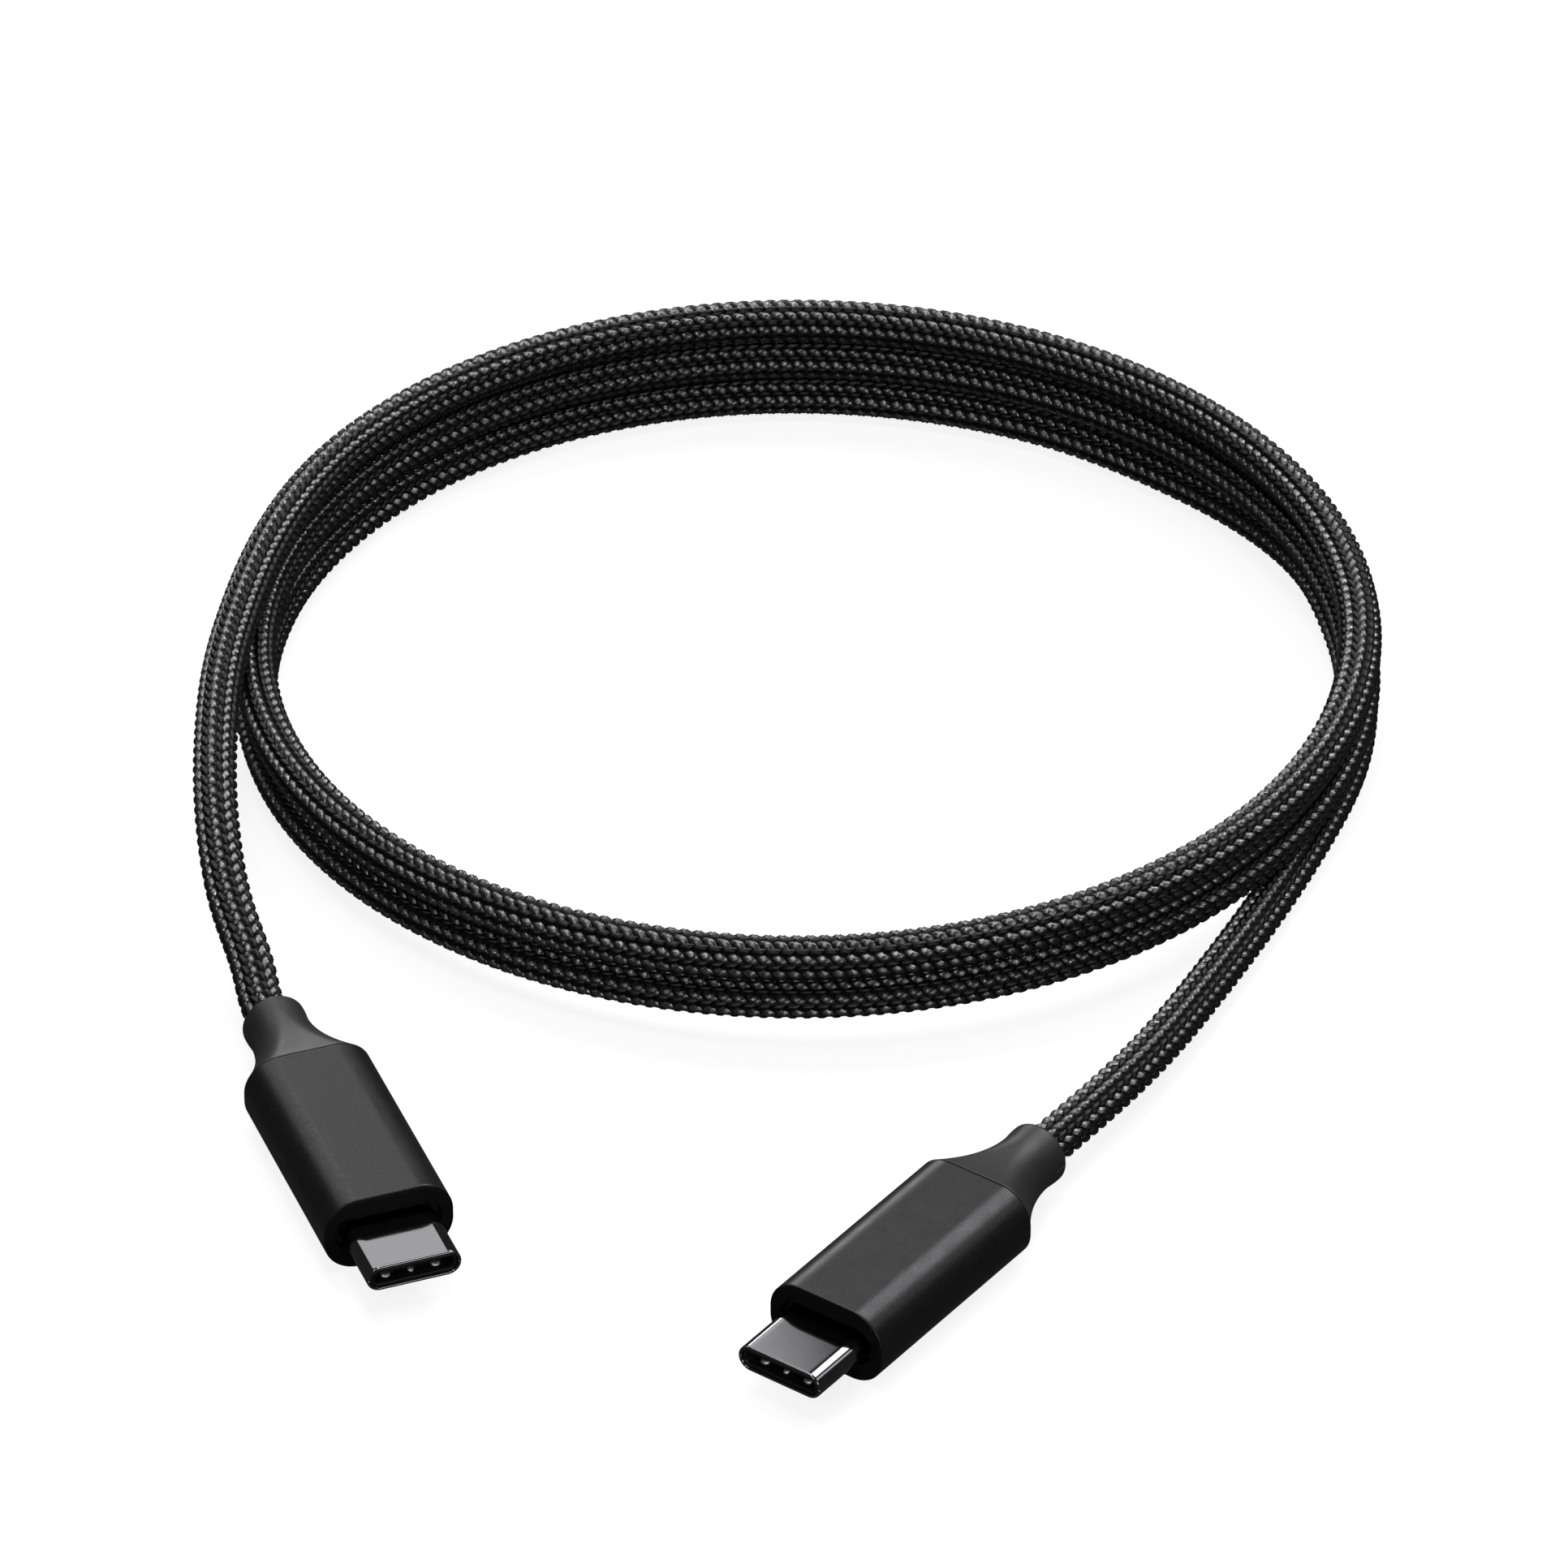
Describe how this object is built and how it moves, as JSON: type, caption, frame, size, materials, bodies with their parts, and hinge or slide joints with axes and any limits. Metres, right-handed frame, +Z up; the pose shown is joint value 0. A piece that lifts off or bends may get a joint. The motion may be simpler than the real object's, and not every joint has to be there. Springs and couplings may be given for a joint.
{
  "type": "charging cable",
  "caption": "Braided charging cable with a reversible metal-housed plug on each end, coiled flat for storage.",
  "frame": {"origin": "on the surface the cable lies on, under the middle of the two plugs' bounding box", "axes": "+Z up from the surface; +Y from the plugs towards the coil; +X to the right, from the left plug towards the right plug"},
  "size_m": [0.1044, 0.1526, 0.012],
  "materials": {
    "anodised_aluminium": "dark grey anodised, fine bead-blasted satin with a bright chamfered front rim",
    "black_nickel": "black nickel plate over steel, polished",
    "soft_mould": "dark grey soft-touch elastomer, satin",
    "face_plate": "black moulded plastic, matte",
    "black_plastic": "black moulded plastic",
    "spring_steel": "nickel-plated spring steel, bright",
    "gold": "gold-plated copper alloy",
    "tin_plate": "tin-plated steel",
    "circuit_board": "green solder mask over glass epoxy",
    "copper": "bright copper",
    "cable_jacket": "black elastomer jacket",
    "nylon_braid": "black nylon multifilament, herringbone braid with a silky glint"
  },
  "bodies": {
    "cable": {"left_plug_shell": "black_nickel", "left_plug_contact_housing": "black_plastic", "left_plug_upper_contact_carrier": "black_plastic", "left_plug_upper_ground_spring": "spring_steel", "left_plug_lower_contact_carrier": "black_plastic", "left_plug_lower_ground_spring": "spring_steel", "left_plug_mid_plate": "tin_plate", "left_plug_paddle_board": "circuit_board", "left_plug_marker_chip": "black_plastic", "left_plug_conductors": "copper", "left_plug_shield_can": "tin_plate", "left_plug_front_frame": "black_plastic", "left_plug_front_bezel": "face_plate", "left_plug_housing": "anodised_aluminium", "left_plug_inner_mould": "black_plastic", "left_plug_crimp_ferrule": "copper", "left_plug_cable_jacket": "cable_jacket", "left_plug_strain_relief": "soft_mould", "right_plug_shell": "black_nickel", "right_plug_contact_housing": "black_plastic", "right_plug_upper_contact_carrier": "black_plastic", "right_plug_upper_ground_spring": "spring_steel", "right_plug_lower_contact_carrier": "black_plastic", "right_plug_lower_ground_spring": "spring_steel", "right_plug_mid_plate": "tin_plate", "right_plug_paddle_board": "circuit_board", "right_plug_marker_chip": "black_plastic", "right_plug_conductors": "copper", "right_plug_shield_can": "tin_plate", "right_plug_front_frame": "black_plastic", "right_plug_front_bezel": "face_plate", "right_plug_housing": "anodised_aluminium", "right_plug_inner_mould": "black_plastic", "right_plug_crimp_ferrule": "copper", "right_plug_cable_jacket": "cable_jacket", "right_plug_strain_relief": "soft_mould", "coil": "nylon_braid", "left_tail": "nylon_braid", "right_tail": "nylon_braid"},
    "left_plug_left_latch": {"left_plug_left_latch": "spring_steel"},
    "left_plug_right_latch": {"left_plug_right_latch": "spring_steel"},
    "left_plug_upper_contacts": {"left_plug_upper_contacts": "gold"},
    "left_plug_lower_contacts": {"left_plug_lower_contacts": "gold"},
    "right_plug_left_latch": {"right_plug_left_latch": "spring_steel"},
    "right_plug_right_latch": {"right_plug_right_latch": "spring_steel"},
    "right_plug_upper_contacts": {"right_plug_upper_contacts": "gold"},
    "right_plug_lower_contacts": {"right_plug_lower_contacts": "gold"}
  },
  "joints": [
    {"name": "left_plug_left_latch_flex", "type": "hinge", "parent": "cable", "child": "left_plug_left_latch", "pos_m": [-0.0244, -0.00457, 0.00345], "axis": [0, 0, -1], "range_deg": [0, 3], "stiffness_Nm_per_rad": 0.2},
    {"name": "left_plug_right_latch_flex", "type": "hinge", "parent": "cable", "child": "left_plug_right_latch", "pos_m": [-0.01861, -0.00239, 0.00345], "axis": [0, 0, 1], "range_deg": [0, 3], "stiffness_Nm_per_rad": 0.2},
    {"name": "left_plug_upper_contacts_flex", "type": "hinge", "parent": "cable", "child": "left_plug_upper_contacts", "pos_m": [-0.02152, -0.00343, 0.00381], "axis": [-0.9361, -0.3518, 0], "range_deg": [0, 1.4], "stiffness_Nm_per_rad": 0.6},
    {"name": "left_plug_lower_contacts_flex", "type": "hinge", "parent": "cable", "child": "left_plug_lower_contacts", "pos_m": [-0.02152, -0.00343, 0.00309], "axis": [0.9361, 0.3518, 0], "range_deg": [0, 1.4], "stiffness_Nm_per_rad": 0.6},
    {"name": "right_plug_left_latch_flex", "type": "hinge", "parent": "cable", "child": "right_plug_left_latch", "pos_m": [0.01226, -0.01597, 0.00345], "axis": [0, 0, -1], "range_deg": [0, 3], "stiffness_Nm_per_rad": 0.2},
    {"name": "right_plug_right_latch_flex", "type": "hinge", "parent": "cable", "child": "right_plug_right_latch", "pos_m": [0.01725, -0.01962, 0.00345], "axis": [0, 0, 1], "range_deg": [0, 3], "stiffness_Nm_per_rad": 0.2},
    {"name": "right_plug_upper_contacts_flex", "type": "hinge", "parent": "cable", "child": "right_plug_upper_contacts", "pos_m": [0.01479, -0.01775, 0.00381], "axis": [-0.807, 0.5906, 0], "range_deg": [0, 1.4], "stiffness_Nm_per_rad": 0.6},
    {"name": "right_plug_lower_contacts_flex", "type": "hinge", "parent": "cable", "child": "right_plug_lower_contacts", "pos_m": [0.01479, -0.01775, 0.00309], "axis": [0.807, -0.5906, 0], "range_deg": [0, 1.4], "stiffness_Nm_per_rad": 0.6}
  ]
}
